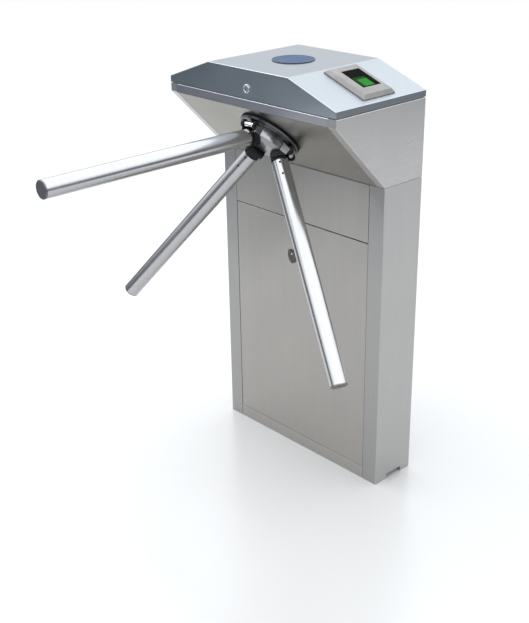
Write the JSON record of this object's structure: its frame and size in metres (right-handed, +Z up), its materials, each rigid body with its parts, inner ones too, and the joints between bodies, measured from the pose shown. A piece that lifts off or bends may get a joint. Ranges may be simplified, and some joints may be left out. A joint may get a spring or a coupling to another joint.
{
  "type": "tripod turnstile",
  "caption": "Compact upright tripod turnstile in brushed stainless sheet, with a hinged lid, fingerprint reader, indicator lens, lockable front door and a drop arm.",
  "frame": {"origin": "on the floor, at the centre of the column's foot and of its anchor holes", "axes": "+Z up; -Y is the side the blocking arm points to; X runs along the cabinet's width, with the reader on the +X side"},
  "size_m": [0.743, 0.7946, 0.986],
  "materials": {
    "brushed_stainless": "satin brushed, grain along each panel",
    "lid_stainless": "fine brushed",
    "arm_stainless": "satin polished tube",
    "end_cap_grey": "moulded grey cap",
    "hub_satin_chrome": "dark satin chrome",
    "polished_chrome": "polished",
    "black_casting": "black coated casting",
    "zinc_steel": "zinc plated sheet and bar",
    "machined_steel": "machined",
    "bearing_steel": "ground",
    "aluminium_plate": "mill finish",
    "cast_housing": "cast, machined bore",
    "indicator_blue": "smoked blue-grey lens",
    "indicator_rim": "dark rim",
    "reader_bezel": "warm grey moulded bezel",
    "reader_black": "gloss black",
    "reader_green": "lit green prism",
    "circuit_board": "solder mask and components",
    "seal_rubber": "black seal",
    "lead_jacket": "black jacket",
    "lock_metal": "nickel plated",
    "cover_dark": "dark bronze grey"
  },
  "bodies": {
    "cabinet": {"base_plate": "zinc_steel", "column_left_panel": "brushed_stainless", "column_right_panel": "brushed_stainless", "back_panel": "brushed_stainless", "plinth_strip": "brushed_stainless", "upper_front_panel": "brushed_stainless", "inner_frame": "zinc_steel", "head_left_cheek": "brushed_stainless", "head_right_cheek": "brushed_stainless", "head_front_band": "brushed_stainless", "sloped_panel": "brushed_stainless", "lid_seal": "seal_rubber", "mechanism_frame": "aluminium_plate", "bearing_housing": "cast_housing", "housing_screws": "zinc_steel", "bearing_outer_rings": "bearing_steel", "pawl_pivots": "machined_steel", "lock_solenoids": "zinc_steel", "sensor_board": "circuit_board", "controller_board": "circuit_board", "power_supply": "aluminium_plate", "wiring_harness": "lead_jacket", "lock_catches": "zinc_steel", "lid_hinge_fixed": "zinc_steel"},
    "lid": {"lid_shell": "lid_stainless", "indicator_ring": "indicator_rim", "indicator_lens": "indicator_blue", "reader_housing": "reader_bezel", "reader_window": "reader_black", "reader_prism": "reader_green", "lid_boards": "circuit_board", "lid_lock_barrel": "lock_metal", "lid_hinge_moving": "zinc_steel"},
    "lid_cam": {"lid_lock_cam": "zinc_steel"},
    "door": {"front_door": "brushed_stainless", "door_lock_barrel": "lock_metal"},
    "door_cam": {"door_lock_cam": "zinc_steel"},
    "keyhole_cover": {"keyhole_cover": "cover_dark"},
    "hub": {"hub_flange": "hub_satin_chrome", "hub_drum": "hub_satin_chrome", "hub_shaft": "machined_steel", "shaft_nut": "zinc_steel", "bearing_inner_rings": "bearing_steel", "index_disc": "machined_steel", "encoder_disc": "aluminium_plate", "fork_cheeks": "black_casting", "latch_bars": "polished_chrome", "pivot_pins": "black_casting", "knuckle_left": "black_casting", "knuckle_right": "black_casting", "tube_left": "arm_stainless", "tube_right": "arm_stainless", "caps_side": "end_cap_grey"},
    "blocking_arm": {"knuckle_front": "black_casting", "tube_front": "arm_stainless", "cap_front": "end_cap_grey"},
    "pawl_entry": {"pawl_entry": "machined_steel"},
    "pawl_exit": {"pawl_exit": "machined_steel"},
    "plunger_entry": {"plunger_entry": "zinc_steel"},
    "plunger_exit": {"plunger_exit": "zinc_steel"}
  },
  "joints": [
    {"name": "hub_turn", "type": "hinge", "parent": "cabinet", "child": "hub", "pos_m": [0, -0.14462, 0.83706], "axis": [0, -0.7133, -0.7009], "continuous": true},
    {"name": "arm_drop", "type": "hinge", "parent": "hub", "child": "blocking_arm", "pos_m": [0, -0.20562, 0.83106], "axis": [1, 0, 0], "range_deg": [0, 90]},
    {"name": "lid_open", "type": "hinge", "parent": "cabinet", "child": "lid", "pos_m": [0, 0.0595, 0.918], "axis": [-1, 0, 0], "range_deg": [0, 75]},
    {"name": "lid_cam_turn", "type": "hinge", "parent": "lid", "child": "lid_cam", "pos_m": [0, -0.1948, 0.942], "axis": [0, -1, 0], "range_deg": [0, 90]},
    {"name": "door_tilt", "type": "hinge", "parent": "cabinet", "child": "door", "pos_m": [0, -0.062, 0.032], "axis": [1, 0, 0], "range_deg": [0, 12]},
    {"name": "door_cam_turn", "type": "hinge", "parent": "door", "child": "door_cam", "pos_m": [-0.02, -0.0464, 0.512], "axis": [0, -1, 0], "range_deg": [0, 90]},
    {"name": "keyhole_cover_swing", "type": "hinge", "parent": "door", "child": "keyhole_cover", "pos_m": [-0.02, -0.065, 0.521], "axis": [0, 1, 0], "range_deg": [-100, 100]},
    {"name": "pawl_exit_swing", "type": "hinge", "parent": "cabinet", "child": "pawl_exit", "pos_m": [0.0716, -0.06591, 0.87824], "axis": [0, -0.7133, -0.7009], "range_deg": [0, 16], "stiffness_Nm_per_rad": 0.3, "springref_deg": -17.19},
    {"name": "pawl_entry_swing", "type": "hinge", "parent": "cabinet", "child": "pawl_entry", "pos_m": [-0.0716, -0.06591, 0.87824], "axis": [0, 0.7133, 0.7009], "range_deg": [0, 16], "stiffness_Nm_per_rad": 0.3, "springref_deg": -17.19},
    {"name": "plunger_exit_slide", "type": "slide", "parent": "cabinet", "child": "plunger_exit", "axis": [1, 0, 0], "range_m": [0, 0.00606]},
    {"name": "plunger_entry_slide", "type": "slide", "parent": "cabinet", "child": "plunger_entry", "axis": [-1, 0, 0], "range_m": [0, 0.00606]}
  ],
  "couplings": [
    {"joint": "pawl_exit_swing", "follows": "plunger_exit_slide", "rad_per_m": 46.06},
    {"joint": "pawl_entry_swing", "follows": "plunger_entry_slide", "rad_per_m": 46.06}
  ]
}
